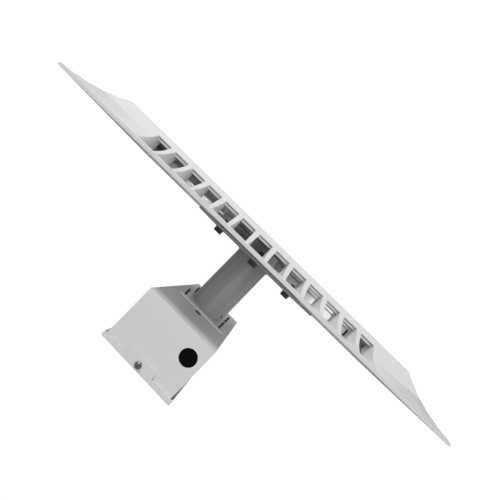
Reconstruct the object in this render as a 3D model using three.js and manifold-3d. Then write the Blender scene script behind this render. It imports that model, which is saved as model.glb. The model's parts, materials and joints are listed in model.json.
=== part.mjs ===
// Solar street lamp: a vented panel tray on a round column, over a folded lamp housing.
// Millimetres, +Z up. The origin is on the column's axis, at the bottom face of the base cover.
// X runs along the tray, Y across it, with the screw tab of the cover on the -Y side.
import * as THREE from 'three';
import { mergeVertices } from 'three/addons/utils/BufferGeometryUtils.js';
import Module from 'manifold-3d';

const wasm = await Module();
wasm.setup();

// Driving dimensions
const GAP = 0.3;                 // clearance kept between touching pieces
const SHEET = 2;                 // thickness of folded sheet steel
const SCREW_FIT = 0.6;           // how much wider a hole in sheet is than its stud

const HOUSING_TURN = -5.2;       // degrees that the housing is turned from the tray, at rest
const HOUSING_WIDTH = 139.5;
const HOUSING_DEPTH = 374;
const HOUSING_TOP = 103;
const AXIS_X = 1.2;              // column's axis from the housing's middle
const ENTRY_X = 45.8;            // cable entry in the front wall
const ENTRY_DROP = 33.9;         // from the housing's top to the entry's centre
const ENTRY_RADIUS = 14.8;

const COVER_SIDE_GAP = 2.6;      // air between the cover's side rim and the housing
const COVER_END_GAP = 0.8;
const COVER_LIP = 8.7;           // height of the cover's rim, from its bottom face
const TAB_WIDTH = 58;
const TAB_HEIGHT = 20.2;
const TAB_CORNER = 3;
const TAB_SCREW_HEIGHT = 8.7;
const SCREW_RADIUS = 2.5;
const GASKET = 2;
const LENS_SIZE = [96, 116];     // window of each light module, X by Y
const LENS_CENTRE = 82;          // from the column's axis to each window's centre

const FLANGE_SIZE = 116;
const FLANGE_THICKNESS = 3;
const FLANGE_STUD = 45.5;        // stud positions, plus and minus, in X and Y
const STUD_RADIUS = 2.2;
const STUD_STAND = 13;           // stud above the flange

const TUBE_RADIUS = 38.05;
const TUBE_WALL = 3;
const TUBE_SIDES = 48;
const SPIGOT_HEIGHT = 24;
const SPIGOT_CLEARANCE = 0.6;

const RIM_HEIGHT = 144;          // from the housing's top to the tray's bottom rim
const TRAY_LENGTH = 786;
const TRAY_WIDTH = 435;
const TRAY_OFFSET = -11;         // tray centre from the column's axis, along X
const TRAY_RISE = 43.4;          // rim to top flange
const TRAY_INSET = 75;           // plan width of the coved wall
const TRAY_WALL = 3;
const RIM_LIP = 5;               // upright edge at the bottom of the wall
const COVE_BEND = 18;            // how far the cove's slope turns each way from its chord, degrees
const TOP_FLANGE = 15;           // ledge over the panel's frame
const RETURN_FLANGE = 26;        // ledge under the tray floor
const RETURN_THICKNESS = 2.5;
const FLOOR_INSET = 18;          // rim to the edge of the tray floor

const SLOT_COUNT = 13;
const SLOT_PITCH = 38;
const SLOT_OUTER_WIDTH = 32;
const SLOT_INNER_WIDTH = 28.6;
const SLOT_START = 10;           // plan distance from the rim
const SLOT_END = 64;
const SLOT_EDGE = 1.2;           // thickness of the wall left at the slot's upper end
const SLOT_UNDERCUT = 6;         // how far the relief behind that edge reaches

const RIB_BACK = 88;             // where the ribs between the slots end, under the panel's frame

const PLATE_SIZE = 264;
const PLATE_THICKNESS = 4.5;
const BOLT_PLACES = [[-94.5, 0], [0, -88], [94.5, 0], [0, 88]];
const BOLT_RADIUS = 5;

const PANEL_FRAME_HEIGHT = 13.5;
const PANEL_EDGE_GAP = 3;        // panel edge to the end of the cove, in plan
const FRAME_LIP = 9;
const GLASS_THICKNESS = 3.2;

// Levels worked out from them
const rad = THREE.MathUtils.degToRad;
const WALL_FOOT = SHEET + 2 * GAP + GASKET;
const FLANGE_TOP = HOUSING_TOP + GAP + FLANGE_THICKNESS;
const RIM_Z = HOUSING_TOP + RIM_HEIGHT;
const TRAY_TOP = RIM_Z + TRAY_RISE;
const PLATE_TOP = RIM_Z - GAP;
const FLOOR_BOTTOM = RIM_Z + RETURN_THICKNESS + GAP;
const FLOOR_TOP = FLOOR_BOTTOM + SHEET;
const PANEL_TOP = TRAY_TOP - TRAY_WALL - GAP;
const PANEL_BOTTOM = PANEL_TOP - PANEL_FRAME_HEIGHT;
const PANEL_LENGTH = TRAY_LENGTH - 2 * (TRAY_INSET + PANEL_EDGE_GAP);
const PANEL_WIDTH = TRAY_WIDTH - 2 * (TRAY_INSET + PANEL_EDGE_GAP);

// Finishes
const finish = (color, roughness, metalness) => ({ color, roughness, metalness });
const WHITE_PAINT = finish(0xe4e5e6, 0.42, 0.0);
const GREY_PAINT = finish(0xa4a6a8, 0.45, 0.0);
const STEEL = finish(0x8d8f92, 0.35, 0.9);
const DARK_STEEL = finish(0x4a423d, 0.45, 0.8);
const ALUMINIUM = finish(0xb9bcc0, 0.4, 0.9);
const RUBBER = finish(0x0c0c0e, 0.8, 0.0);
const BLACK_PLASTIC = finish(0x1c1d20, 0.6, 0.0);
const CLEAR_PLASTIC = finish(0xdde6ea, 0.1, 0.0);
const PALE_PLASTIC = finish(0xc4c6c6, 0.5, 0.0);
const WHITE_BOARD = finish(0xf0f0ea, 0.5, 0.0);
const CELL_BLUE = finish(0x0d1a3a, 0.25, 0.1);
const CELL_WRAP = finish(0x2c6a9a, 0.5, 0.1);

// Solids: closed geometries joined and cut as manifolds
function solid(geometry) {
  const bare = geometry.index ? geometry.toNonIndexed() : geometry.clone();
  bare.deleteAttribute('normal');
  bare.deleteAttribute('uv');
  const merged = mergeVertices(bare, 1e-4);
  return new wasm.Manifold(new wasm.Mesh({
    numProp: 3,
    vertProperties: new Float32Array(merged.attributes.position.array),
    triVerts: new Uint32Array(merged.index.array),
  }));
}

function geometryOf(body) {
  const mesh = body.getMesh();
  const geometry = new THREE.BufferGeometry();
  geometry.setAttribute('position', new THREE.BufferAttribute(mesh.vertProperties, 3));
  geometry.setIndex(new THREE.BufferAttribute(mesh.triVerts, 1));
  geometry.computeVertexNormals();
  return geometry;
}

// A box from its low and high corners
function block(low, high) {
  const size = high.map((value, k) => value - low[k]);
  const geometry = new THREE.BoxGeometry(...size);
  geometry.translate(...low.map((value, k) => (value + high[k]) / 2));
  return solid(geometry);
}

// An upright prism over a plan outline, from z0 to z1
function prism(shape, z0, z1) {
  const geometry = new THREE.ExtrudeGeometry(shape, {
    depth: z1 - z0, bevelEnabled: false, curveSegments: 4,
  });
  geometry.translate(0, 0, z0);
  return solid(geometry);
}

// An upright cylinder
function post(x, y, z0, z1, radius, sides = 24) {
  const geometry = new THREE.CylinderGeometry(radius, radius, z1 - z0, sides);
  geometry.rotateX(Math.PI / 2);
  geometry.translate(x, y, (z0 + z1) / 2);
  return solid(geometry);
}

// A cylinder lying along X or Y, from its centre, length and radius
function rod(axis, centre, length, radius, sides = 24) {
  const geometry = new THREE.CylinderGeometry(radius, radius, length, sides);
  if (axis === 'x') geometry.rotateZ(Math.PI / 2);
  geometry.translate(...centre);
  return solid(geometry);
}

function hexagon(acrossFlats) {
  const corner = acrossFlats / Math.sqrt(3);
  const turns = [0, 1, 2, 3, 4, 5].map((k) => k * Math.PI / 3);
  return new THREE.Shape(turns.map((a) => new THREE.Vector2(corner * Math.cos(a), corner * Math.sin(a))));
}

function roundedRectangle(width, depth, radius, cx = 0, cy = 0) {
  const x = width / 2;
  const y = depth / 2;
  const shape = new THREE.Shape();
  shape.moveTo(cx - x + radius, cy - y);
  shape.lineTo(cx + x - radius, cy - y);
  shape.absarc(cx + x - radius, cy - y + radius, radius, -Math.PI / 2, 0);
  shape.lineTo(cx + x, cy + y - radius);
  shape.absarc(cx + x - radius, cy + y - radius, radius, 0, Math.PI / 2);
  shape.lineTo(cx - x + radius, cy + y);
  shape.absarc(cx - x + radius, cy + y - radius, radius, Math.PI / 2, Math.PI);
  shape.lineTo(cx - x, cy - y + radius);
  shape.absarc(cx - x + radius, cy - y + radius, radius, Math.PI, 1.5 * Math.PI);
  return shape;
}

const union = (parts) => parts.reduce((whole, piece) => whole.add(piece));
const cut = (body, tools) => body.subtract(union(tools));
const corners = (a, b = a) => [[-a, -b], [a, -b], [a, b], [-a, b]];

function named(name, body, look) {
  const mesh = new THREE.Mesh(geometryOf(body), new THREE.MeshStandardMaterial(look));
  mesh.name = name;
  return mesh;
}

// One mesh for each of a row of bodies, numbered from 1
const numbered = (name, bodies, look) => bodies.map((body, k) => named(`${name}_${k + 1}`, body, look));

// ---- Lamp housing ----

const FRONT_Y = -HOUSING_DEPTH / 2;
const HINGE_Y = HOUSING_DEPTH / 2 + 8.5;
const HINGE_Z = 21;
const DUCT_RADIUS = 30;          // wiring hole under the column
const PLUG_Y = -69;              // blind plug in the housing's top
const PLUG_RADIUS = 7.5;

// Folded shell, open underneath, with the cable entry, the open screw slot and the stud holes
function housingShell() {
  const x = HOUSING_WIDTH / 2;
  const y = HOUSING_DEPTH / 2;
  const shell = cut(block([-x, -y, WALL_FOOT], [x, y, HOUSING_TOP]), [
    block([-x + SHEET, -y + SHEET, 0], [x - SHEET, y - SHEET, HOUSING_TOP - SHEET]),
  ]);
  const slotWidth = 3.5;
  return cut(shell, [
    rod('y', [ENTRY_X, FRONT_Y, HOUSING_TOP - ENTRY_DROP], 4 * SHEET, ENTRY_RADIUS, 40),
    rod('y', [0, FRONT_Y, TAB_SCREW_HEIGHT], 4 * SHEET, slotWidth),
    block([-slotWidth, FRONT_Y - SHEET, 0], [slotWidth, FRONT_Y + 2 * SHEET, TAB_SCREW_HEIGHT]),
    post(AXIS_X, 0, HOUSING_TOP - 2 * SHEET, HOUSING_TOP + SHEET, DUCT_RADIUS, 40),
    ...corners(FLANGE_STUD).map(([sx, sy]) => (
      post(AXIS_X + sx, sy, HOUSING_TOP - 2 * SHEET, HOUSING_TOP + SHEET, STUD_RADIUS + SCREW_FIT, 12))),
    post(0, PLUG_Y, HOUSING_TOP - 2 * SHEET, HOUSING_TOP + SHEET, PLUG_RADIUS + GAP, 28),
  ]);
}

// Blind rubber plug seated in the cable entry, a little behind the wall's face
function entryGrommet() {
  const z = HOUSING_TOP - ENTRY_DROP;
  const seat = rod('y', [ENTRY_X, FRONT_Y + SHEET + 2, z], 3, ENTRY_RADIUS + 3, 40);
  const plug = rod('y', [ENTRY_X, FRONT_Y + 2.2, z], 3, ENTRY_RADIUS - GAP, 40);
  const hollow = rod('y', [ENTRY_X, FRONT_Y + 5.6, z], 4, ENTRY_RADIUS - 3, 40);
  return cut(plug.add(seat), [hollow]);
}

// Blind rubber plug in the housing's top, with a cupped face just below the sheet's surface
function topPlug() {
  const stem = post(0, PLUG_Y, HOUSING_TOP - SHEET - 3, HOUSING_TOP - 0.3, PLUG_RADIUS, 28);
  const lip = post(0, PLUG_Y, HOUSING_TOP - SHEET - 3, HOUSING_TOP - SHEET - GAP, PLUG_RADIUS + 2.5, 28);
  const cup = post(0, PLUG_Y, HOUSING_TOP - 1.8, HOUSING_TOP + 1, PLUG_RADIUS - 1.2, 28);
  return cut(stem.add(lip), [cup]);
}

// Foot flange with the spigot that the column turns on
function baseFlange() {
  const outer = TUBE_RADIUS - TUBE_WALL - SPIGOT_CLEARANCE;
  const plate = prism(roundedRectangle(FLANGE_SIZE, FLANGE_SIZE, 6), HOUSING_TOP + GAP, FLANGE_TOP);
  const spigot = post(0, 0, FLANGE_TOP - 1, FLANGE_TOP + SPIGOT_HEIGHT, outer, TUBE_SIDES);
  return cut(plate.add(spigot), [
    post(0, 0, HOUSING_TOP, FLANGE_TOP + SPIGOT_HEIGHT + 1, outer - 3, TUBE_SIDES),
    ...corners(FLANGE_STUD).map(([x, y]) => post(x, y, HOUSING_TOP, FLANGE_TOP + 1, STUD_RADIUS + GAP, 12)),
  ]);
}

// Studs with their heads under the housing's top
function flangeStuds() {
  return corners(FLANGE_STUD).map(([x, y]) => {
    const head = prism(hexagon(10), HOUSING_TOP - SHEET - GAP - 4, HOUSING_TOP - SHEET - GAP);
    const shank = post(0, 0, HOUSING_TOP - SHEET - 1, FLANGE_TOP + STUD_STAND - 0.6, STUD_RADIUS, 12);
    const tip = new THREE.CylinderGeometry(STUD_RADIUS - 0.6, STUD_RADIUS, 0.8, 12);
    tip.rotateX(Math.PI / 2);
    tip.translate(0, 0, FLANGE_TOP + STUD_STAND - 0.3);
    return union([head, shank, solid(tip)]).translate([x, y, 0]);
  });
}

// Rear hinge: two knuckles on each bracket of the housing, and one between them on the cover
const HINGES = [-40, 40];
const KNUCKLE = 12;
const KNUCKLE_RADIUS = 4.5;
const PIN_RADIUS = 2;

function hingeBracket(x) {
  const wall = HOUSING_DEPTH / 2 + GAP;
  const leafLow = HINGE_Z + KNUCKLE_RADIUS + 1;
  const reach = 1.5 * KNUCKLE + 0.5;
  const leaf = block([x - reach, wall, leafLow], [x + reach, wall + 2, leafLow + 18]);
  const knuckles = [-1, 1].flatMap((side) => {
    const cx = x + side * (KNUCKLE + 0.5);
    return [
      block([cx - KNUCKLE / 2, wall, HINGE_Z], [cx + KNUCKLE / 2, wall + 2, leafLow + 1]),
      block([cx - KNUCKLE / 2, wall, HINGE_Z], [cx + KNUCKLE / 2, HINGE_Y, HINGE_Z + KNUCKLE_RADIUS]),
      rod('x', [cx, HINGE_Y, HINGE_Z], KNUCKLE, KNUCKLE_RADIUS, 20),
    ];
  });
  const bore = rod('x', [x, HINGE_Y, HINGE_Z], 4 * KNUCKLE, PIN_RADIUS + GAP, 16);
  return cut(union([leaf, ...knuckles]), [bore]);
}

function hingePin(x) {
  const pin = rod('x', [x, HINGE_Y, HINGE_Z], 3 * KNUCKLE + 4, PIN_RADIUS, 16);
  const head = rod('x', [x + 1.5 * KNUCKLE + 3, HINGE_Y, HINGE_Z], 2, PIN_RADIUS + 1.3, 16);
  return pin.add(head);
}

// ---- Electronics under the housing's top ----

const CEILING = HOUSING_TOP - SHEET - GAP;

function electronicsBox(width, depth, height, cy) {
  const lid = 2.5;
  const body = prism(roundedRectangle(width, depth, 4, 0, cy), CEILING - height, CEILING - lid);
  const ears = prism(roundedRectangle(width + 22, depth * 0.5, 4, 0, cy), CEILING - lid, CEILING);
  const ribs = [-2, -1, 0, 1, 2].map((k) => (
    block([k * 11 - 2, cy - depth / 2 + 6, CEILING - height - 2],
      [k * 11 + 2, cy + depth / 2 - 6, CEILING - height + 1])));
  return cut(union([body, ears, ...ribs]), [-1, 1].map((side) => (
    post(side * (width / 2 + 6), cy, CEILING - lid - 1, CEILING + 1, 2.2, 12))));
}

function terminalBlock() {
  const row = block([-30, 50, CEILING - 14], [30, 64, CEILING]);
  return cut(row, [-2, -1, 0, 1, 2].map((k) => post(k * 11, 57, CEILING - 16, CEILING - 5, 3, 12)));
}

// ---- Base cover with the light modules ----

const COVER_X = HOUSING_WIDTH / 2 + COVER_SIDE_GAP + SHEET;
const COVER_Y = HOUSING_DEPTH / 2 + COVER_END_GAP + SHEET;

// A sheet standing on X, centred at z = 0, with its front face at the given y and its corners rounded
function uprightSheet(width, height, radius, front) {
  const geometry = new THREE.ExtrudeGeometry(roundedRectangle(width, height, radius), {
    depth: SHEET, bevelEnabled: false, curveSegments: 4,
  });
  geometry.rotateX(Math.PI / 2);
  geometry.translate(0, front + SHEET, 0);
  return solid(geometry);
}

// Shallow pan with a low rim, a taller screw tab in front and hinge knuckles behind
function baseCover() {
  const x = COVER_X;
  const y = COVER_Y;
  const floor = prism(roundedRectangle(2 * x, 2 * y, 3), 0, SHEET);
  const ring = cut(prism(roundedRectangle(2 * x, 2 * y, 3), SHEET / 2, COVER_LIP), [
    block([-x + SHEET, -y + SHEET, 0], [x - SHEET, y - SHEET, COVER_LIP + 1]),
  ]);
  const tab = uprightSheet(TAB_WIDTH, 2 * TAB_HEIGHT, TAB_CORNER, -y).intersect(
    block([-x, -y, SHEET], [x, y, TAB_HEIGHT]));
  const knuckles = HINGES.flatMap((hx) => [
    rod('x', [hx, HINGE_Y, HINGE_Z], KNUCKLE, KNUCKLE_RADIUS, 20),
    block([hx - KNUCKLE / 2, y - SHEET, COVER_LIP - 4], [hx + KNUCKLE / 2, HINGE_Y + 1, HINGE_Z]),
  ]);
  const reliefs = HINGES.map((hx) => (
    block([hx - KNUCKLE, HOUSING_DEPTH / 2 - 5, COVER_LIP - 5], [hx + KNUCKLE, y - SHEET, HINGE_Z + 8])));
  return cut(cut(union([floor, ring, tab, ...knuckles]), reliefs), [
    ...[-1, 1].map((side) => prism(
      roundedRectangle(LENS_SIZE[0], LENS_SIZE[1], 6, 0, side * LENS_CENTRE), -1, SHEET + 1)),
    ...HINGES.map((hx) => rod('x', [hx, HINGE_Y, HINGE_Z], KNUCKLE + 4, PIN_RADIUS + GAP, 16)),
    rod('y', [0, -y + SHEET / 2, TAB_SCREW_HEIGHT], 3 * SHEET, SCREW_RADIUS + GAP, 20),
  ]);
}

function coverGasket() {
  const x = HOUSING_WIDTH / 2 + 1.5;
  const y = HOUSING_DEPTH / 2;
  const ring = prism(roundedRectangle(2 * x, 2 * y, 4), SHEET + GAP, SHEET + GAP + GASKET);
  return cut(ring, [prism(roundedRectangle(2 * x - 14, 2 * y - 14, 3), 0, 10)]);
}

// Captive pan-head screw of the tab, with the socket in its head
function coverScrew() {
  const face = -COVER_Y - GAP;
  const profile = [
    [0, -14], [SCREW_RADIUS, -14], [SCREW_RADIUS, 0],
    [6, 0], [5.8, 1.4], [4.6, 2.9], [2.6, 3.9], [0, 4.2],
  ];
  const geometry = new THREE.LatheGeometry(profile.map(([r, h]) => new THREE.Vector2(r, h)), 24);
  geometry.rotateX(Math.PI);
  geometry.translate(0, face, TAB_SCREW_HEIGHT);
  const socket = new THREE.ExtrudeGeometry(hexagon(4), { depth: 3, bevelEnabled: false });
  socket.rotateX(Math.PI / 2);
  socket.translate(0, face - 2, TAB_SCREW_HEIGHT);
  return cut(solid(geometry), [solid(socket)]);
}

function coverScrewNut() {
  const geometry = new THREE.ExtrudeGeometry(hexagon(8), { depth: 5, bevelEnabled: false });
  geometry.rotateX(-Math.PI / 2);
  geometry.translate(0, FRONT_Y + SHEET + 1, TAB_SCREW_HEIGHT);
  return cut(solid(geometry), [rod('y', [0, FRONT_Y, TAB_SCREW_HEIGHT], 40, SCREW_RADIUS + GAP, 20)]);
}

const LENS_ROWS = [-1.5, -0.5, 0.5, 1.5];
const LENS_COLUMNS = [-1, 0, 1];
const lensPlaces = LENS_COLUMNS.flatMap((i) => LENS_ROWS.map((j) => [i * 28, j * 26]));
const LENS_PLATE_Z = SHEET + GAP;

// Clear optic plate over one window, with a domed lens under each LED
function ledLens(side) {
  const cy = side * LENS_CENTRE;
  const size = roundedRectangle(LENS_SIZE[0] + 14, LENS_SIZE[1] + 14, 6, 0, cy);
  const plate = prism(size, LENS_PLATE_Z, LENS_PLATE_Z + 2.5);
  const arc = [0, 35, 65, 90].map((a) => (
    new THREE.Vector2(9.5 * Math.sin(rad(a)), -1.9 * Math.cos(rad(a)))));
  const domes = lensPlaces.map(([x, y]) => {
    const dome = new THREE.LatheGeometry([...arc, new THREE.Vector2(9.5, 1), new THREE.Vector2(0, 1)], 10);
    dome.rotateX(Math.PI / 2);
    dome.translate(x, cy + y, LENS_PLATE_Z);
    return solid(dome);
  });
  return union([plate, ...domes]);
}

function ledBoard(side) {
  const cy = side * LENS_CENTRE;
  const z = LENS_PLATE_Z + 2.5 + GAP + 1.2;
  const plate = prism(roundedRectangle(LENS_SIZE[0] + 10, LENS_SIZE[1] + 10, 4, 0, cy), z, z + 1.6);
  const chips = lensPlaces.map(([x, y]) => (
    block([x - 2.5, cy + y - 2.5, z - 1.1], [x + 2.5, cy + y + 2.5, z + 0.5])));
  return union([plate, ...chips]);
}

const SINK_Z = LENS_PLATE_Z + 2.5 + GAP + 1.2 + 1.6 + GAP;

// Finned plate that both light boards are screwed to
function heatSink() {
  const plate = block([-58, -160, SINK_Z], [58, 160, SINK_Z + 3]);
  const fins = [-4, -3, -2, -1, 0, 1, 2, 3, 4].map((k) => (
    block([k * 13 - 1, -156, SINK_Z + 2], [k * 13 + 1, 156, SINK_Z + 15])));
  const bars = [-1, 1].map((side) => (
    block([-52, side * 156 - 6, SHEET + GAP], [52, side * 156 + 6, SINK_Z + 1])));
  return union([plate, ...fins, ...bars]);
}

// ---- Column and its top plate ----

const TUBE_FOOT = FLANGE_TOP + GAP;
const TUBE_TOP = RIM_Z + 31;
const GRUB_HEIGHT = TUBE_FOOT + 12;
const GRUB_TURNS = [150, 330];

function columnTube() {
  const tube = cut(post(0, 0, TUBE_FOOT, TUBE_TOP, TUBE_RADIUS, TUBE_SIDES), [
    post(0, 0, TUBE_FOOT - 1, TUBE_TOP + 1, TUBE_RADIUS - TUBE_WALL, TUBE_SIDES),
  ]);
  return cut(tube, GRUB_TURNS.map((turn) => (
    rod('x', [TUBE_RADIUS, 0, GRUB_HEIGHT], 12, 3 + GAP, 16).rotate([0, 0, turn]))));
}

// Set screws that lock the column on its spigot
function grubScrews() {
  return GRUB_TURNS.map((turn) => (
    rod('x', [TUBE_RADIUS - 0.9, 0, GRUB_HEIGHT], 3.6, 3, 16).rotate([0, 0, turn])));
}

function topPlate() {
  const plate = prism(roundedRectangle(PLATE_SIZE, PLATE_SIZE, 8), PLATE_TOP - PLATE_THICKNESS, PLATE_TOP);
  return cut(plate, [
    post(0, 0, PLATE_TOP - 10, PLATE_TOP + 10, TUBE_RADIUS + GAP, TUBE_SIDES),
    ...BOLT_PLACES.map(([x, y]) => post(x, y, PLATE_TOP - 10, PLATE_TOP + 10, BOLT_RADIUS + GAP, 12)),
  ]);
}

// Hex bolts with washers, heads down, through the plate and the tray floor
function plateBolts() {
  const seat = PLATE_TOP - PLATE_THICKNESS - GAP;
  return BOLT_PLACES.map(([x, y]) => {
    const washer = post(0, 0, seat - 2, seat, 10, 24);
    const head = prism(hexagon(16), seat - 9.5, seat - 1.5);
    const shank = post(0, 0, seat - 3, FLOOR_TOP + 12.5, BOLT_RADIUS, 12);
    return union([washer, head, shank]).translate([x, y, 0]);
  });
}

function plateNuts() {
  const nut = prism(hexagon(16), FLOOR_TOP + GAP, FLOOR_TOP + 8.3);
  const tapped = cut(nut, [post(0, 0, FLOOR_TOP, FLOOR_TOP + 10, BOLT_RADIUS + GAP, 12)]);
  return BOLT_PLACES.map(([x, y]) => tapped.translate([x, y, 0]));
}

// ---- Tray ----

// The cove's outer face in section, as an arc from its foot at the rim
function coveArc() {
  const rise = TRAY_RISE - RIM_LIP;
  const bend = rad(COVE_BEND);
  const start = Math.atan2(rise, TRAY_INSET) - bend;
  const radius = Math.hypot(TRAY_INSET, rise) / 2 / Math.sin(bend);
  const centre = [-radius * Math.sin(start), RIM_LIP + radius * Math.cos(start)];
  return { start, bend, radius, centre };
}

// Height of the cove's outer face over the rim, at an inset from it
function coveHeight(inset) {
  const { radius, centre } = coveArc();
  return centre[1] - Math.sqrt(radius ** 2 - (inset - centre[0]) ** 2);
}

// Section of the wall, as [inset from the rim, height], with both faces of the cove about one centre
function wallSection() {
  const { start, bend, radius, centre } = coveArc();
  const steps = 7;
  const onArc = (r, k) => {
    const angle = start + 2 * bend * k / steps;
    return [centre[0] + r * Math.sin(angle), centre[1] - r * Math.cos(angle)];
  };
  const count = [...Array(steps + 1).keys()];
  const outer = count.map((k) => onArc(radius, k));
  const inner = count.slice(1).reverse().map((k) => onArc(radius + TRAY_WALL, k));
  const last = outer[steps];
  const ledge = last[0] + TOP_FLANGE;
  const under = last[1] - TRAY_WALL;
  return [
    [0, 0], ...outer, [ledge, last[1]], [ledge, under], [last[0] + 1.5, under],
    ...inner.slice(1), [8, RETURN_THICKNESS], [RETURN_FLANGE, RETURN_THICKNESS], [RETURN_FLANGE, 0],
  ];
}

// A section in (inset, height) drawn out along X, with the tray's rim at half its width on the -Y side
function standing(section, length, width) {
  const geometry = new THREE.ExtrudeGeometry(section, { depth: length, bevelEnabled: false });
  geometry.applyMatrix4(new THREE.Matrix4().set(
    0, 0, 1, -length / 2,
    1, 0, 0, -width / 2,
    0, 1, 0, RIM_Z,
    0, 0, 0, 1,
  ));
  return solid(geometry);
}

// One mitred wall along X
function trayWall(length, width) {
  const shape = new THREE.Shape(wallSection().map(([inset, height]) => new THREE.Vector2(inset, height)));
  const deep = TRAY_INSET + 2 * TOP_FLANGE;
  const mitre = new THREE.Shape([
    new THREE.Vector2(-length / 2, -width / 2), new THREE.Vector2(length / 2, -width / 2),
    new THREE.Vector2(length / 2 - deep, -width / 2 + deep),
    new THREE.Vector2(-length / 2 + deep, -width / 2 + deep),
  ]);
  return standing(shape, length, width).intersect(prism(mitre, RIM_Z - 1, TRAY_TOP + 1));
}

// One slot through the cove, relieved behind its upper end so that only a thin edge shows
function ventSlot(x) {
  const y0 = -TRAY_WIDTH / 2 + SLOT_START;
  const y1 = -TRAY_WIDTH / 2 + SLOT_END;
  const shape = new THREE.Shape([
    new THREE.Vector2(x - SLOT_OUTER_WIDTH / 2, y0), new THREE.Vector2(x + SLOT_OUTER_WIDTH / 2, y0),
    new THREE.Vector2(x + SLOT_INNER_WIDTH / 2, y1), new THREE.Vector2(x - SLOT_INNER_WIDTH / 2, y1),
  ]);
  const foot = RIM_Z + RETURN_THICKNESS + 0.2;
  const relief = block([x - SLOT_INNER_WIDTH / 2, y1 - 1, foot],
    [x + SLOT_INNER_WIDTH / 2, y1 + SLOT_UNDERCUT, RIM_Z + coveHeight(SLOT_END) - SLOT_EDGE]);
  return prism(shape, foot, TRAY_TOP + 1).add(relief);
}

// Ribs between the slots, from the cove back under the panel's frame
function slotRibs(slots) {
  const floor = FLOOR_TOP + GAP - RIM_Z;
  const roof = PANEL_BOTTOM - GAP - RIM_Z;
  const cove = wallSection().slice(1).filter(([inset, height]) => inset > 8 && inset < 70 && height > floor)
    .slice(0, 6);
  const profile = new THREE.Shape([
    [7, RETURN_THICKNESS - 1], [FLOOR_INSET - GAP, RETURN_THICKNESS - 1], [FLOOR_INSET - GAP, floor],
    [RIB_BACK, floor], [RIB_BACK, roof], [TRAY_INSET, roof], ...cove.reverse(),
  ].map(([inset, height]) => new THREE.Vector2(inset, height)));
  const length = SLOT_COUNT * SLOT_PITCH + 6;
  const bank = standing(profile, length, TRAY_WIDTH);
  const pockets = slots.map((x) => block([x - SLOT_INNER_WIDTH / 2, -TRAY_WIDTH / 2 + SLOT_END - 1, RIM_Z],
    [x + SLOT_INNER_WIDTH / 2, -TRAY_WIDTH / 2 + RIB_BACK + 1, RIM_Z + roof + 1]));
  return cut(bank, pockets);
}

function traySkirt() {
  const places = [...Array(SLOT_COUNT).keys()].map((k) => (k - (SLOT_COUNT - 1) / 2) * SLOT_PITCH);
  const wall = trayWall(TRAY_LENGTH, TRAY_WIDTH).add(slotRibs(places));
  const long = cut(wall, places.map(ventSlot));
  const short = trayWall(TRAY_WIDTH, TRAY_LENGTH);
  return union([long, long.rotate([0, 0, 180]), short.rotate([0, 0, 90]), short.rotate([0, 0, 270])]);
}

function trayFloor() {
  const sheet = prism(roundedRectangle(TRAY_LENGTH - 2 * FLOOR_INSET, TRAY_WIDTH - 2 * FLOOR_INSET, 4),
    FLOOR_BOTTOM, FLOOR_TOP);
  return cut(sheet, [
    post(-TRAY_OFFSET, 0, RIM_Z, FLOOR_TOP + 2, TUBE_RADIUS + 1, TUBE_SIDES),
    ...BOLT_PLACES.map(([x, y]) => post(x - TRAY_OFFSET, y, RIM_Z, FLOOR_TOP + 2, BOLT_RADIUS + GAP, 12)),
  ]);
}

// ---- Solar panel ----

function panelFrame() {
  const x = PANEL_LENGTH / 2;
  const y = PANEL_WIDTH / 2;
  const bar = block([-x, -y, PANEL_BOTTOM], [x, y, PANEL_TOP]);
  const lip = 1.6;
  return cut(bar, [
    block([-x + FRAME_LIP, -y + FRAME_LIP, PANEL_TOP - 2], [x - FRAME_LIP, y - FRAME_LIP, PANEL_TOP + 1]),
    block([-x + 2, -y + 2, PANEL_BOTTOM + 2], [x - 2, y - 2, PANEL_TOP - lip]),
    block([-x + 16, -y + 16, PANEL_BOTTOM - 1], [x - 16, y - 16, PANEL_BOTTOM + 3]),
  ]);
}

const GLASS_TOP = PANEL_TOP - 1.6 - GAP;

function panelSheet(z0, z1, margin) {
  const x = PANEL_LENGTH / 2 - margin;
  const y = PANEL_WIDTH / 2 - margin;
  return block([-x, -y, z0], [x, y, z1]);
}

const BACKSHEET_BOTTOM = GLASS_TOP - GLASS_THICKNESS - 2 * GAP - 1.4;

function junctionBox() {
  const top = BACKSHEET_BOTTOM - GAP;
  return prism(roundedRectangle(110, 60, 5, -150, -40), top - 14, top);
}

// ---- Battery ----

const CELL_RADIUS = 9;
const CELL_LENGTH = 65;
const CELLS_PER_ROW = 8;
const BATTERY_WALL = 2.2;
const BATTERY_ROWS = [63, 112];  // centre line of each case, along Y
const BATTERY_LID = 2.5;
const BATTERY_BOTTOM = FLOOR_TOP + GAP;
const BATTERY_TOP = BATTERY_BOTTOM + 2 * (CELL_RADIUS + BATTERY_WALL + GAP) + BATTERY_LID;
const BATTERY_LENGTH = CELLS_PER_ROW * CELL_LENGTH + 2 * BATTERY_WALL + 6;
const BATTERY_WIDTH = 2 * (CELL_RADIUS + BATTERY_WALL + GAP);

function batteryTub(y) {
  const top = BATTERY_TOP - BATTERY_LID - GAP;
  const shape = roundedRectangle(BATTERY_LENGTH, BATTERY_WIDTH, 4, 0, y);
  const walls = 2 * BATTERY_WALL;
  const hollow = roundedRectangle(BATTERY_LENGTH - walls, BATTERY_WIDTH - walls, 2, 0, y);
  return cut(prism(shape, BATTERY_BOTTOM, top), [prism(hollow, BATTERY_BOTTOM + BATTERY_WALL, top + 1)]);
}

function batteryLid(y) {
  const shape = roundedRectangle(BATTERY_LENGTH, BATTERY_WIDTH, 4, 0, y);
  return prism(shape, BATTERY_TOP - BATTERY_LID, BATTERY_TOP);
}

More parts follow.
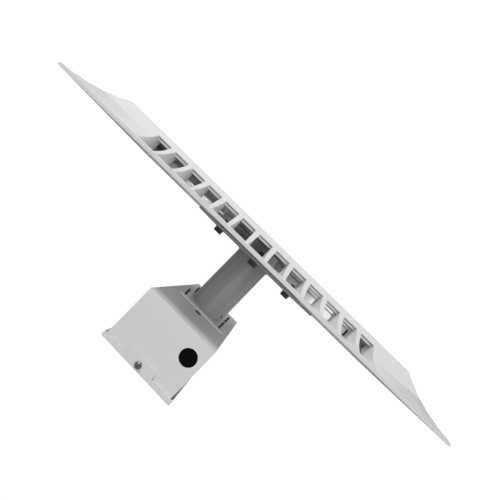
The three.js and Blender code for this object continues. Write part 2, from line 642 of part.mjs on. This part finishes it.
// Round cells end to end in the tub, welded into one row by their terminals
function batteryCells(y) {
  const z = BATTERY_BOTTOM + BATTERY_WALL + GAP + CELL_RADIUS;
  const places = [...Array(CELLS_PER_ROW).keys()].map((k) => (k - (CELLS_PER_ROW - 1) / 2) * CELL_LENGTH);
  return union(places.flatMap((x) => [
    rod('x', [x, y, z], CELL_LENGTH - 3, CELL_RADIUS, 12),
    rod('x', [x, y, z], CELL_LENGTH + 0.4, 3, 6),
  ]));
}

// ---- Assembly ----

function housingGroup() {
  const group = new THREE.Group();
  group.rotation.z = rad(HOUSING_TURN);
  group.position.set(-AXIS_X * Math.cos(rad(HOUSING_TURN)), -AXIS_X * Math.sin(rad(HOUSING_TURN)), 0);
  group.add(
    named('housing_shell', housingShell(), WHITE_PAINT),
    named('entry_grommet', entryGrommet(), RUBBER),
    named('top_plug', topPlug(), RUBBER),
    named('base_flange', baseFlange().translate([AXIS_X, 0, 0]), WHITE_PAINT),
    ...numbered('flange_stud', flangeStuds().map((stud) => stud.translate([AXIS_X, 0, 0])), DARK_STEEL),
    ...numbered('hinge_bracket', HINGES.map(hingeBracket), WHITE_PAINT),
    ...numbered('hinge_pin', HINGES.map(hingePin), STEEL),
    named('led_driver', electronicsBox(80, 90, 24, -126), BLACK_PLASTIC),
    named('charge_controller', electronicsBox(90, 70, 26, 115), BLACK_PLASTIC),
    named('terminal_block', terminalBlock(), PALE_PLASTIC),
    named('base_cover', baseCover(), WHITE_PAINT),
    named('cover_gasket', coverGasket(), RUBBER),
    named('cover_screw', coverScrew(), STEEL),
    named('cover_screw_nut', coverScrewNut(), STEEL),
    named('led_lens_front', ledLens(-1), CLEAR_PLASTIC),
    named('led_lens_rear', ledLens(1), CLEAR_PLASTIC),
    named('led_board_front', ledBoard(-1), WHITE_BOARD),
    named('led_board_rear', ledBoard(1), WHITE_BOARD),
    named('heat_sink', heatSink(), ALUMINIUM),
  );
  return group;
}

function columnGroup() {
  const group = new THREE.Group();
  group.add(
    named('column_tube', columnTube(), GREY_PAINT),
    ...numbered('grub_screw', grubScrews(), STEEL),
    named('top_plate', topPlate(), GREY_PAINT),
    ...numbered('plate_bolt', plateBolts(), DARK_STEEL),
    ...numbered('plate_nut', plateNuts(), DARK_STEEL),
  );
  return group;
}

function trayGroup() {
  const group = new THREE.Group();
  group.position.x = TRAY_OFFSET;
  const cellTop = GLASS_TOP - GLASS_THICKNESS - GAP;
  group.add(
    named('tray_skirt', traySkirt(), WHITE_PAINT),
    named('tray_floor', trayFloor(), WHITE_PAINT),
    named('panel_frame', panelFrame(), ALUMINIUM),
    named('panel_glass', panelSheet(GLASS_TOP - GLASS_THICKNESS, GLASS_TOP, 2 + GAP), CLEAR_PLASTIC),
    named('solar_cells', panelSheet(cellTop - 0.4, cellTop, 8), CELL_BLUE),
    named('panel_backsheet', panelSheet(BACKSHEET_BOTTOM, cellTop - 0.4 - GAP, 2 + GAP), WHITE_BOARD),
    named('junction_box', junctionBox(), PALE_PLASTIC),
    ...numbered('battery_tub', BATTERY_ROWS.map(batteryTub), PALE_PLASTIC),
    ...numbered('battery_lid', BATTERY_ROWS.map(batteryLid), PALE_PLASTIC),
    ...numbered('battery_cells', BATTERY_ROWS.map(batteryCells), CELL_WRAP),
  );
  return group;
}

const lamp = new THREE.Group();
lamp.add(housingGroup(), columnGroup(), trayGroup());

export default lamp;
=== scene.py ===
# Solar street lamp: looks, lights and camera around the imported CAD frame.
import json
import math

import bmesh
import bpy
from mathutils import Matrix, Vector

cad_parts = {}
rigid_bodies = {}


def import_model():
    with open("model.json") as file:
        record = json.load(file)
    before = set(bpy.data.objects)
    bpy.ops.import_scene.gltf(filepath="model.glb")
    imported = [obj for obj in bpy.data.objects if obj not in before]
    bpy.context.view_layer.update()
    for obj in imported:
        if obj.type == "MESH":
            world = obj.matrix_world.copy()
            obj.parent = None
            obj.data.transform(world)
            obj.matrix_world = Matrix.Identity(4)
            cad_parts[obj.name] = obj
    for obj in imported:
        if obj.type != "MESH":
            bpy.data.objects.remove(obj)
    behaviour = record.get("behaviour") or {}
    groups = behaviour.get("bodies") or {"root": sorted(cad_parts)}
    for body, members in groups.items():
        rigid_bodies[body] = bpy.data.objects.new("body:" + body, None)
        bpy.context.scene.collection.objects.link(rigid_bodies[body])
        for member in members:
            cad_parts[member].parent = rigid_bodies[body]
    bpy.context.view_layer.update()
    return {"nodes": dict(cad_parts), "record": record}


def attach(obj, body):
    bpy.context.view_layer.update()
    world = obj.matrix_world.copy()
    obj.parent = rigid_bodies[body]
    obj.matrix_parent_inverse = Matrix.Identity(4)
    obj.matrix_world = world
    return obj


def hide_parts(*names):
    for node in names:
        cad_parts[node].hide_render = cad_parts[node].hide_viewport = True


for default in list(bpy.data.objects):
    bpy.data.objects.remove(default)

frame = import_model()
NODES = frame["nodes"]


# ---- Camera ----

CAMERA_PLACE = Vector((-0.0177, -0.7296, 0.2389))
CAMERA_FORWARD = Vector((-0.003, 0.9998, 0.020))
CAMERA_RIGHT = Vector((0.7149, 0.0, 0.6993))
LENS = 25.73


def make_camera():
    data = bpy.data.cameras.new("camera")
    data.sensor_width = 36.0
    data.lens = LENS
    data.clip_start = 0.01
    data.clip_end = 100.0
    camera = bpy.data.objects.new("camera", data)
    bpy.context.scene.collection.objects.link(camera)
    back = -CAMERA_FORWARD.normalized()
    right = (CAMERA_RIGHT - back * CAMERA_RIGHT.dot(back)).normalized()
    up = back.cross(right)
    camera.matrix_world = Matrix((
        (right.x, up.x, back.x, CAMERA_PLACE.x),
        (right.y, up.y, back.y, CAMERA_PLACE.y),
        (right.z, up.z, back.z, CAMERA_PLACE.z),
        (0, 0, 0, 1)))
    bpy.context.scene.camera = camera


# ---- Lights, floor and backdrop ----

WORLD_TOP = 0.42                 # sky overhead
WORLD_BOTTOM = 0.44              # bounce from below
WORLD_LEFT = 0.80                # share of it that comes from the -X and +X sides
WORLD_RIGHT = 0.95


def make_world():
    world = bpy.data.worlds.new("studio")
    bpy.context.scene.world = world
    world.use_nodes = True
    tree = world.node_tree
    tree.nodes.clear()
    out = tree.nodes.new("ShaderNodeOutputWorld")
    background = tree.nodes.new("ShaderNodeBackground")
    coordinates = tree.nodes.new("ShaderNodeTexCoord")
    split = tree.nodes.new("ShaderNodeSeparateXYZ")
    tree.links.new(coordinates.outputs["Generated"], split.inputs[0])
    height = ranged(tree, split.outputs["Z"], WORLD_BOTTOM, WORLD_TOP, -0.6, 0.6)
    side = ranged(tree, split.outputs["X"], WORLD_LEFT, WORLD_RIGHT, -0.8, 0.8)
    product = tree.nodes.new("ShaderNodeMath")
    product.operation = "MULTIPLY"
    tree.links.new(height, product.inputs[0])
    tree.links.new(side, product.inputs[1])
    tree.links.new(product.outputs[0], background.inputs["Strength"])
    background.inputs["Color"].default_value = (1, 1, 1, 1)
    tree.links.new(background.outputs[0], out.inputs["Surface"])


def area_light(name, place, target, size, watts):
    data = bpy.data.lights.new(name, "AREA")
    data.shape = "SQUARE"
    data.size = size
    data.energy = watts
    light = bpy.data.objects.new(name, data)
    bpy.context.scene.collection.objects.link(light)
    light.location = place
    light.rotation_mode = "QUATERNION"
    light.rotation_quaternion = (Vector(target) - Vector(place)).to_track_quat("-Z", "Y")
    return light


INNER_RADIUS = 0.008
SPOT_ANGLE = 84
SPOT_BLEND = 0.6


def inner_light(name, kind, place, target, watts, lit):
    """A small lamp in the tray's air space, standing in for the light that its white inside spreads."""
    data = bpy.data.lights.new(name, kind)
    data.shadow_soft_size = INNER_RADIUS
    data.energy = watts
    if kind == "SPOT":
        data.spot_size = math.radians(SPOT_ANGLE)
        data.spot_blend = SPOT_BLEND
    light = bpy.data.objects.new(name, data)
    bpy.context.scene.collection.objects.link(light)
    light.location = place
    light.rotation_mode = "QUATERNION"
    light.rotation_quaternion = (Vector(target) - Vector(place)).to_track_quat("-Z", "Y")
    light.visible_camera = False
    light.visible_glossy = False
    light.light_linking.receiver_collection = lit


# What the inner lamps light; they are fixed in space and don't turn with the head
TRAY_INSIDE = ("tray_skirt", "tray_floor", "panel_frame", "panel_backsheet", "junction_box", "column_tube",
               "battery_tub_1", "battery_tub_2", "battery_lid_1", "battery_lid_2")


def make_lights():
    area_light("key", (-1.5, -1.0, 2.3), (0, -0.1, 0.2), 0.5, 34)
    fill = area_light("fill", (0.9, -2.4, 0.5), (0, 0, 0.15), 1.2, 14)
    fill.visible_glossy = False
    back = area_light("back", (0.7, 1.8, 2.4), (0, 0.1, 0.2), 1.0, 12)
    back.visible_glossy = False
    lit = bpy.data.collections.new("tray_inside")
    for name in TRAY_INSIDE:
        lit.objects.link(NODES[name])
    for side in (-1, 1):
        inner_light(f"inner_{side + 2}", "POINT", (side * 0.12, -0.04, 0.262), (0, 0, 0), 0.045, lit)
        inner_light(f"outer_{side + 2}", "SPOT", (side * 0.16, -0.06, 0.262), (side * 0.30, 0.20, 0.255),
                    0.6, lit)


def camera_only(obj):
    obj.visible_diffuse = False
    obj.visible_glossy = False
    obj.visible_transmission = False
    obj.visible_shadow = False


def glow(name, colour, strength, albedo):
    material = bpy.data.materials.new(name)
    material.use_nodes = True
    shader = material.node_tree.nodes["Principled BSDF"]
    shader.inputs["Base Color"].default_value = (*[albedo * c for c in colour], 1)
    shader.inputs["Roughness"].default_value = 1.0
    shader.inputs["Specular IOR Level"].default_value = 0.0
    shader.inputs["Emission Color"].default_value = (*colour, 1)
    shader.inputs["Emission Strength"].default_value = strength
    return material


FLOOR_LEVEL = -1.6               # far enough below for the open cover to hang clear
FLOOR_HALF = 30.0
BACKDROP_RADIUS = 28.0
FLOOR_GLOW = 0.90
BACKDROP_GLOW = 1.1


def make_stage():
    mesh = bpy.data.meshes.new("floor")
    turns = ((-1, -1), (1, -1), (1, 1), (-1, 1))
    corners = [(FLOOR_HALF * x, FLOOR_HALF * y, FLOOR_LEVEL) for x, y in turns]
    mesh.from_pydata(corners, [], [(0, 1, 2, 3)])
    floor = bpy.data.objects.new("floor", mesh)
    floor.data.materials.append(glow("floor_white", (1, 1, 1), FLOOR_GLOW, 0.3))
    bpy.context.scene.collection.objects.link(floor)
    floor.visible_diffuse = False
    floor.visible_glossy = False
    bm = bmesh.new()
    bmesh.ops.create_uvsphere(bm, u_segments=48, v_segments=24, radius=BACKDROP_RADIUS)
    bmesh.ops.reverse_faces(bm, faces=bm.faces)
    mesh = bpy.data.meshes.new("backdrop")
    bm.to_mesh(mesh)
    bm.free()
    backdrop = bpy.data.objects.new("backdrop", mesh)
    backdrop.data.materials.append(glow("backdrop_white", (1, 1, 1), BACKDROP_GLOW, 0.0))
    bpy.context.scene.collection.objects.link(backdrop)
    camera_only(backdrop)


# ---- Materials ----

def new_material(name):
    material = bpy.data.materials.new(name)
    material.use_nodes = True
    tree = material.node_tree
    tree.nodes.clear()
    out = tree.nodes.new("ShaderNodeOutputMaterial")
    shader = tree.nodes.new("ShaderNodeBsdfPrincipled")
    tree.links.new(shader.outputs[0], out.inputs["Surface"])
    place = tree.nodes.new("ShaderNodeTexCoord")
    return material, tree, shader, place.outputs["Object"]


def stretched(tree, place, scale):
    mapping = tree.nodes.new("ShaderNodeMapping")
    mapping.inputs["Scale"].default_value = scale
    tree.links.new(place, mapping.inputs["Vector"])
    return mapping.outputs[0]


def noise(tree, place, scale, detail=2.0, rough=0.5):
    node = tree.nodes.new("ShaderNodeTexNoise")
    node.inputs["Scale"].default_value = scale
    node.inputs["Detail"].default_value = detail
    node.inputs["Roughness"].default_value = rough
    tree.links.new(place, node.inputs["Vector"])
    return node.outputs["Fac"]


def ranged(tree, value, low, high, start=0.3, end=0.7):
    node = tree.nodes.new("ShaderNodeMapRange")
    node.inputs["From Min"].default_value = start
    node.inputs["From Max"].default_value = end
    node.inputs["To Min"].default_value = low
    node.inputs["To Max"].default_value = high
    tree.links.new(value, node.inputs["Value"])
    return node.outputs["Result"]


def blended(tree, value, first, second):
    node = tree.nodes.new("ShaderNodeMix")
    node.data_type = "RGBA"
    node.inputs[6].default_value = (*first, 1)
    node.inputs[7].default_value = (*second, 1)
    tree.links.new(value, node.inputs[0])
    return node.outputs[2]


def bumped(tree, shader, value, strength, distance):
    node = tree.nodes.new("ShaderNodeBump")
    node.inputs["Strength"].default_value = strength
    node.inputs["Distance"].default_value = distance
    tree.links.new(value, node.inputs["Height"])
    tree.links.new(node.outputs[0], shader.inputs["Normal"])


def finish_material(name, colour, dark, rough, metal=0.0, grain=(1, 1, 1), cloud=9.0, peel=700.0,
                    peel_depth=0.12, spread=0.06, specular=0.5):
    """A finish whose tone wanders between two colours, with its own roughness and fine surface."""
    material, tree, shader, place = new_material(name)
    stretched_place = stretched(tree, place, grain)
    tone = noise(tree, stretched_place, cloud, 4.0, 0.55)
    tree.links.new(blended(tree, ranged(tree, tone, 0.0, 1.0), dark, colour), shader.inputs["Base Color"])
    gloss = noise(tree, stretched_place, cloud * 5.0, 3.0)
    tree.links.new(ranged(tree, gloss, rough - spread, rough + spread), shader.inputs["Roughness"])
    shader.inputs["Metallic"].default_value = metal
    shader.inputs["Specular IOR Level"].default_value = specular
    bumped(tree, shader, noise(tree, stretched_place, peel, 2.0), peel_depth, 0.0004)
    return material


def clear_material(name, tint, rough, ior):
    material, tree, shader, place = new_material(name)
    tone = noise(tree, place, 14.0, 3.0)
    tree.links.new(blended(tree, ranged(tree, tone, 0.0, 1.0), [c * 0.97 for c in tint], tint),
                   shader.inputs["Base Color"])
    gloss = noise(tree, place, 60.0, 2.0)
    tree.links.new(ranged(tree, gloss, rough, rough * 2.0), shader.inputs["Roughness"])
    shader.inputs["Transmission Weight"].default_value = 1.0
    shader.inputs["IOR"].default_value = ior
    return material


def silicon_material():
    """Dark blue wafers with pale grid fingers across them."""
    material, tree, shader, place = new_material("silicon_cell")
    tone = ranged(tree, noise(tree, place, 60.0, 4.0), 0.0, 1.0)
    wafer = blended(tree, tone, (0.006, 0.011, 0.045), (0.012, 0.022, 0.080))
    lines = tree.nodes.new("ShaderNodeTexWave")
    lines.bands_direction = "X"
    lines.inputs["Scale"].default_value = 142.0
    tree.links.new(place, lines.inputs["Vector"])
    mix = tree.nodes.new("ShaderNodeMix")
    mix.data_type = "RGBA"
    tree.links.new(ranged(tree, lines.outputs["Fac"], 0.0, 0.35, 0.93, 1.0), mix.inputs[0])
    tree.links.new(wafer, mix.inputs[6])
    mix.inputs[7].default_value = (0.45, 0.47, 0.50, 1)
    tree.links.new(mix.outputs[2], shader.inputs["Base Color"])
    tree.links.new(ranged(tree, noise(tree, place, 300.0), 0.18, 0.28), shader.inputs["Roughness"])
    return material


FINISHES = {
    "white_paint": finish_material("powder_coat_white", (0.84, 0.84, 0.835), (0.825, 0.825, 0.82), 0.34,
                                   cloud=7.0, peel=900.0, peel_depth=0.004, spread=0.03, specular=0.35),
    "grey_paint": finish_material("powder_coat_grey", (0.40, 0.40, 0.40), (0.32, 0.32, 0.32), 0.30,
                                  grain=(1, 1, 0.04), cloud=90.0, peel=900.0, peel_depth=0.08),
    "steel": finish_material("plated_steel", (0.36, 0.355, 0.35), (0.24, 0.235, 0.23), 0.22, metal=1.0,
                             cloud=120.0, peel=1500.0, peel_depth=0.15),
    "dark_steel": finish_material("dark_plated_steel", (0.17, 0.14, 0.12), (0.07, 0.055, 0.05), 0.40,
                                  metal=0.9, cloud=150.0, peel=1600.0, peel_depth=0.3),
    # Dark grey aluminium: its colour is darkened to paint the shade on the panel frame's face inside the
    # tray.
    "aluminium": finish_material("shade_darkened_aluminium", (0.24, 0.24, 0.245), (0.20, 0.20, 0.205), 0.42,
                                 metal=0.35, grain=(0.05, 1, 1), cloud=300.0, peel=2200.0, peel_depth=0.1),
    "rubber": finish_material("black_rubber", (0.004, 0.004, 0.0045), (0.002, 0.002, 0.002), 0.85,
                              cloud=40.0, peel=1800.0, peel_depth=0.3, specular=0.1),
    "black_plastic": finish_material("black_moulding", (0.045, 0.046, 0.05), (0.03, 0.031, 0.034), 0.5,
                                     cloud=30.0, peel=2500.0, peel_depth=0.35),
    "grey_plastic": finish_material("pale_moulding", (0.56, 0.56, 0.555), (0.50, 0.50, 0.495), 0.5,
                                    cloud=30.0, peel=2500.0, peel_depth=0.3),
    "white_board": finish_material("white_film", (0.80, 0.80, 0.78), (0.74, 0.74, 0.72), 0.5,
                                   cloud=30.0, peel=1500.0, peel_depth=0.1),
    "cell_wrap": finish_material("blue_shrink_wrap", (0.05, 0.20, 0.38), (0.03, 0.14, 0.30), 0.3,
                                 cloud=60.0, peel=800.0, peel_depth=0.2),
    "solar_cell": silicon_material(),
    "clear_plastic": clear_material("clear_optic", (0.93, 0.96, 0.97), 0.03, 1.49),
    "panel_glass": clear_material("cover_glass", (0.95, 0.98, 0.97), 0.02, 1.50),
}
SLOT_OF = {part["node"]: part["material_slot"] for part in frame["record"]["subparts"]}


# ---- CAD nodes: soft edges and finishes ----

def smoothing_group():
    """Shades smooth, except across edges that turn by more than the limit."""
    group = bpy.data.node_groups.new("smooth_by_angle", "GeometryNodeTree")
    group.interface.new_socket("Geometry", in_out="INPUT", socket_type="NodeSocketGeometry")
    group.interface.new_socket("Geometry", in_out="OUTPUT", socket_type="NodeSocketGeometry")
    start = group.nodes.new("NodeGroupInput")
    end = group.nodes.new("NodeGroupOutput")
    bare = group.nodes.new("GeometryNodeRemoveAttribute")
    bare.inputs["Name"].default_value = "custom_normal"
    faces = group.nodes.new("GeometryNodeSetShadeSmooth")
    edges = group.nodes.new("GeometryNodeSetShadeSmooth")
    edges.domain = "EDGE"
    edges.inputs["Shade Smooth"].default_value = False
    angle = group.nodes.new("GeometryNodeInputMeshEdgeAngle")
    sharp = group.nodes.new("FunctionNodeCompare")
    sharp.operation = "GREATER_THAN"
    sharp.inputs[1].default_value = math.radians(32)
    group.links.new(start.outputs[0], bare.inputs[0])
    group.links.new(bare.outputs[0], faces.inputs["Geometry"])
    group.links.new(faces.outputs[0], edges.inputs["Geometry"])
    group.links.new(angle.outputs["Unsigned Angle"], sharp.inputs[0])
    group.links.new(sharp.outputs[0], edges.inputs["Selection"])
    group.links.new(edges.outputs[0], end.inputs[0])
    return group


SMOOTHING = smoothing_group()


def smooth(obj):
    modifier = obj.modifiers.new("smooth", "NODES")
    modifier.node_group = SMOOTHING


def fold_group(name, shortest, low, high, upright):
    """Marks the long edges whose middle lies between two heights, or that stand upright, to be rounded."""
    group = bpy.data.node_groups.new(name, "GeometryNodeTree")
    group.interface.new_socket("Geometry", in_out="INPUT", socket_type="NodeSocketGeometry")
    group.interface.new_socket("Geometry", in_out="OUTPUT", socket_type="NodeSocketGeometry")
    start = group.nodes.new("NodeGroupInput")
    end = group.nodes.new("NodeGroupOutput")
    ends = group.nodes.new("GeometryNodeInputMeshEdgeVertices")

    def vector(operation, first, second):
        node = group.nodes.new("ShaderNodeVectorMath")
        node.operation = operation
        group.links.new(first, node.inputs[0])
        group.links.new(second, node.inputs[1])
        return node

    def height(vector_output):
        node = group.nodes.new("ShaderNodeSeparateXYZ")
        group.links.new(vector_output, node.inputs[0])
        return node.outputs["Z"]

    def maths(operation, first, second):
        node = group.nodes.new("ShaderNodeMath")
        node.operation = operation
        group.links.new(first, node.inputs[0])
        if isinstance(second, float):
            node.inputs[1].default_value = second
        else:
            group.links.new(second, node.inputs[1])
        return node.outputs[0]

    here, there = ends.outputs["Position 1"], ends.outputs["Position 2"]
    long = maths("GREATER_THAN", vector("DISTANCE", here, there).outputs["Value"], shortest)
    middle = maths("MULTIPLY", maths("ADD", height(here), height(there)), 0.5)
    level = maths("MULTIPLY", maths("GREATER_THAN", middle, low), maths("LESS_THAN", middle, high))
    rise = height(vector("SUBTRACT", here, there).outputs["Vector"])
    stands = maths("GREATER_THAN", maths("MULTIPLY", rise, rise), upright * upright)
    weight = maths("MULTIPLY", long, maths("MAXIMUM", level, stands))
    store = group.nodes.new("GeometryNodeStoreNamedAttribute")
    store.data_type = "FLOAT"
    store.domain = "EDGE"
    store.inputs["Name"].default_value = "bevel_weight_edge"
    group.links.new(start.outputs[0], store.inputs["Geometry"])
    group.links.new(weight, store.inputs["Value"])
    group.links.new(store.outputs[0], end.inputs[0])
    return group


def soften(obj, width, segments=2):
    """Joins the node's loose triangles into whole faces, then rounds its folds and its edges."""
    weld = obj.modifiers.new("weld", "WELD")
    weld.merge_threshold = 1e-5
    flat = obj.modifiers.new("flat_faces", "DECIMATE")
    flat.decimate_type = "DISSOLVE"
    flat.angle_limit = math.radians(0.6)
    if obj.name in FOLDS:
        radius, rule = FOLDS[obj.name]
        marked = obj.modifiers.new("folds", "NODES")
        marked.node_group = fold_group("folds_" + obj.name, *rule)
        fold = obj.modifiers.new("fold_radius", "BEVEL")
        fold.width = radius
        fold.segments = 4
        fold.limit_method = "WEIGHT"
    bevel = obj.modifiers.new("edge_radius", "BEVEL")
    bevel.width = width
    bevel.segments = segments
    bevel.limit_method = "ANGLE"
    bevel.angle_limit = math.radians(40)
    smooth(obj)
    even = obj.modifiers.new("even_shading", "WEIGHTED_NORMAL")
    even.keep_sharp = True
    even.weight = 50


# Fold radius, then the edges that get it: shortest edge, lowest and highest middle, and least rise if upright
FOLDS = {
    "housing_shell": (0.0022, (0.09, 0.1025, 0.104, 0.09)),
    "base_cover": (0.0016, (0.12, -0.001, 0.0005, 1.0)),
}
SMALL_RADIUS = 0.0003            # for every node that the next table leaves out
EDGE_RADIUS = {
    "housing_shell": 0.0008, "base_cover": 0.0009, "tray_skirt": 0.0007, "tray_floor": 0.0004,
    "base_flange": 0.0006, "top_plate": 0.0006, "column_tube": 0.0003, "panel_frame": 0.0004,
    "heat_sink": 0.0003, "entry_grommet": 0.0006, "cover_screw": 0.0002, "led_driver": 0.0006,
    "charge_controller": 0.0006, "terminal_block": 0.0005, "junction_box": 0.001,
}
for name, node in NODES.items():
    node.data.materials.clear()
    node.data.materials.append(FINISHES[SLOT_OF[name]])
    soften(node, EDGE_RADIUS.get(name, SMALL_RADIUS))


# ---- Small parts that the CAD leaves out ----

# From the housing's own axes to the lamp's
HOUSING = Matrix.Rotation(math.radians(-5.2), 4, "Z") @ Matrix.Translation((-0.0012, 0, 0))
LAMP = Matrix.Identity(4)


def lathe(bm, profile, place, sides=24):
    """A closed turned shape from (radius, height) pairs, starting and ending on its axis."""
    rings = []
    for radius, height in profile:
        turns = [2 * math.pi * k / sides for k in range(sides)] if radius else [0.0]
        rings.append([bm.verts.new(place @ Vector((radius * math.cos(t), radius * math.sin(t), height)))
                      for t in turns])
    for low, high in zip(rings, rings[1:]):
        for k in range(sides):
            around = (low[k % len(low)], low[(k + 1) % len(low)],
                      high[(k + 1) % len(high)], high[k % len(high)])
            bm.faces.new(tuple(dict.fromkeys(around)))


def tablet(bm, centre, size, corner, z0, z1, place):
    """A thin rectangular plate with its corners cut off."""
    x, y = size[0] / 2, size[1] / 2
    outline = [(x, y - corner), (x - corner, y), (corner - x, y), (-x, y - corner),
               (-x, corner - y), (corner - x, -y), (x - corner, -y), (x, corner - y)]
    low, high = [[bm.verts.new(place @ Vector((centre[0] + u, centre[1] + v, z))) for u, v in outline]
                 for z in (z0, z1)]
    bm.faces.new(high)
    bm.faces.new(low[::-1])
    for k in range(8):
        bm.faces.new((low[k], low[(k + 1) % 8], high[(k + 1) % 8], high[k]))


def piece(name, bm, body, material):
    bmesh.ops.recalc_face_normals(bm, faces=bm.faces)
    mesh = bpy.data.meshes.new(name)
    bm.to_mesh(mesh)
    bm.free()
    made = bpy.data.objects.new(name, mesh)
    bpy.context.scene.collection.objects.link(made)
    mesh.materials.append(material)
    smooth(made)
    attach(made, body)
    return made


def screw_profile(radius, height):
    """A domed head with a round recess in its middle."""
    return [(0, 0), (radius, 0), (0.97 * radius, 0.35 * height), (0.78 * radius, 0.78 * height),
            (0.5 * radius, height), (0.42 * radius, 0.98 * height), (0.36 * radius, 0.5 * height),
            (0, 0.5 * height)]


SHEET_X = (-0.318, 0.296)        # solar cell sheet
SHEET_Y = 0.1315
SHEET_Z = 0.2813
CELL_COLUMNS = 9
CELL_ROWS = 4
CELL_GAP = 0.002
CELL_CORNER = 0.007
CELL_THICKNESS = 0.0002


def cell_array():
    """Separate cells with cut corners, where the CAD has one dark sheet."""
    pitch_x = (SHEET_X[1] - SHEET_X[0]) / CELL_COLUMNS
    pitch_y = 2 * SHEET_Y / CELL_ROWS
    bm = bmesh.new()
    for i in range(CELL_COLUMNS):
        for j in range(CELL_ROWS):
            centre = (SHEET_X[0] + (i + 0.5) * pitch_x, -SHEET_Y + (j + 0.5) * pitch_y)
            size = (pitch_x - CELL_GAP, pitch_y - CELL_GAP)
            tablet(bm, centre, size, CELL_CORNER, SHEET_Z, SHEET_Z + CELL_THICKNESS, LAMP)
    array = piece("solar_cell_array", bm, "head", FINISHES["solar_cell"])
    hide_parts("solar_cells")


def cell_busbars():
    """Tinned ribbons, three over each row of cells."""
    pitch = 2 * SHEET_Y / CELL_ROWS
    middle = (SHEET_X[0] + SHEET_X[1]) / 2
    length = SHEET_X[1] - SHEET_X[0] - 2 * CELL_GAP
    bm = bmesh.new()
    for row in range(CELL_ROWS):
        for line in (-1, 0, 1):
            y = -SHEET_Y + (row + 0.5) * pitch + line * 0.30 * pitch
            tablet(bm, (middle, y), (length, 0.0014), 0.0004, SHEET_Z + 0.00022, SHEET_Z + 0.00034, LAMP)
    piece("cell_busbars", bm, "head", FINISHES["steel"])


WELD_HEIGHT = 0.2416             # middle of the bead, under the top plate


def weld_bead():
    """Fillet weld between the column and its top plate, with the ripple of the torch."""
    ring, section, around, across = 0.0389, 0.0013, 144, 8
    bm = bmesh.new()
    rows = []
    for k in range(around):
        turn = 2 * math.pi * k / around
        size = section * (1 + 0.12 * math.sin(36 * turn))
        rows.append([])
        for j in range(across):
            tilt = 2 * math.pi * j / across
            reach = ring + size * math.cos(tilt)
            rows[-1].append(bm.verts.new((reach * math.cos(turn), reach * math.sin(turn),
                                          WELD_HEIGHT + size * math.sin(tilt))))
    for k in range(around):
        for j in range(across):
            here, there = rows[k], rows[(k + 1) % around]
            bm.faces.new((here[j], there[j], there[(j + 1) % across], here[(j + 1) % across]))
    piece("weld_bead", bm, "head", FINISHES["grey_paint"])


CEILING = 0.1007                 # face that the electronics are screwed to


def case_screws():
    """Heads that hold the driver, the controller and the leads in the terminal block, seen from below."""
    downward = Matrix.Rotation(math.pi, 4, "X")
    bm = bmesh.new()
    for reach, y in ((0.046, -0.126), (0.051, 0.115)):
        for side in (-1, 1):
            place = HOUSING @ Matrix.Translation((side * reach, y, CEILING - 0.0027)) @ downward
            lathe(bm, screw_profile(0.0038, 0.0024), place)
    for k in range(-2, 3):
        place = HOUSING @ Matrix.Translation((k * 0.011, 0.057, CEILING - 0.0055)) @ downward
        lathe(bm, screw_profile(0.0024, 0.0018), place, 16)
    piece("case_screws", bm, "base", FINISHES["steel"])


HINGES = (-0.040, 0.040)
RIVET_REACH = 0.011              # from a hinge's middle
RIVET_FACE = 0.1894              # outer face of the bracket's leaf
RIVET_HEIGHT = 0.037
RIVET_DOME = ((0, 0), (0.0028, 0), (0.0026, 0.0006), (0.0018, 0.0012), (0.0008, 0.00145), (0, 0.0015))


def hinge_rivets():
    """Domed rivets through the leaf of each rear hinge bracket."""
    bm = bmesh.new()
    rearward = Matrix.Rotation(-math.pi / 2, 4, "X")
    for hinge in HINGES:
        for side in (-1, 1):
            centre = (hinge + side * RIVET_REACH, RIVET_FACE, RIVET_HEIGHT)
            lathe(bm, RIVET_DOME, HOUSING @ Matrix.Translation(centre) @ rearward, 20)
    piece("hinge_rivets", bm, "base", FINISHES["white_paint"])


MODULES = (-0.082, 0.082)        # middle of each light module
CHIP_PITCH = (0.028, 0.026)
CHIP_SIZE = (0.0036, 0.0036)
CHIP_CORNER = 0.0006
CHIP_FACE = (0.00506, 0.00518)   # lowest and highest


def led_phosphors():
    """The yellow face of each LED chip, over the optics."""
    bm = bmesh.new()
    for module in MODULES:
        for i in (-1, 0, 1):
            for j in (-1.5, -0.5, 0.5, 1.5):
                centre = (i * CHIP_PITCH[0], module + j * CHIP_PITCH[1])
                tablet(bm, centre, CHIP_SIZE, CHIP_CORNER, *CHIP_FACE, HOUSING)
    yellow = finish_material("phosphor", (0.85, 0.62, 0.10), (0.78, 0.55, 0.08), 0.6, cloud=400.0,
                             peel=3000.0, peel_depth=0.2)
    piece("led_phosphors", bm, "cover", yellow)


cell_array()
cell_busbars()
weld_bead()
case_screws()
hinge_rivets()
led_phosphors()

make_camera()
make_world()
make_lights()
make_stage()
bpy.context.scene.view_settings.view_transform = "Standard"
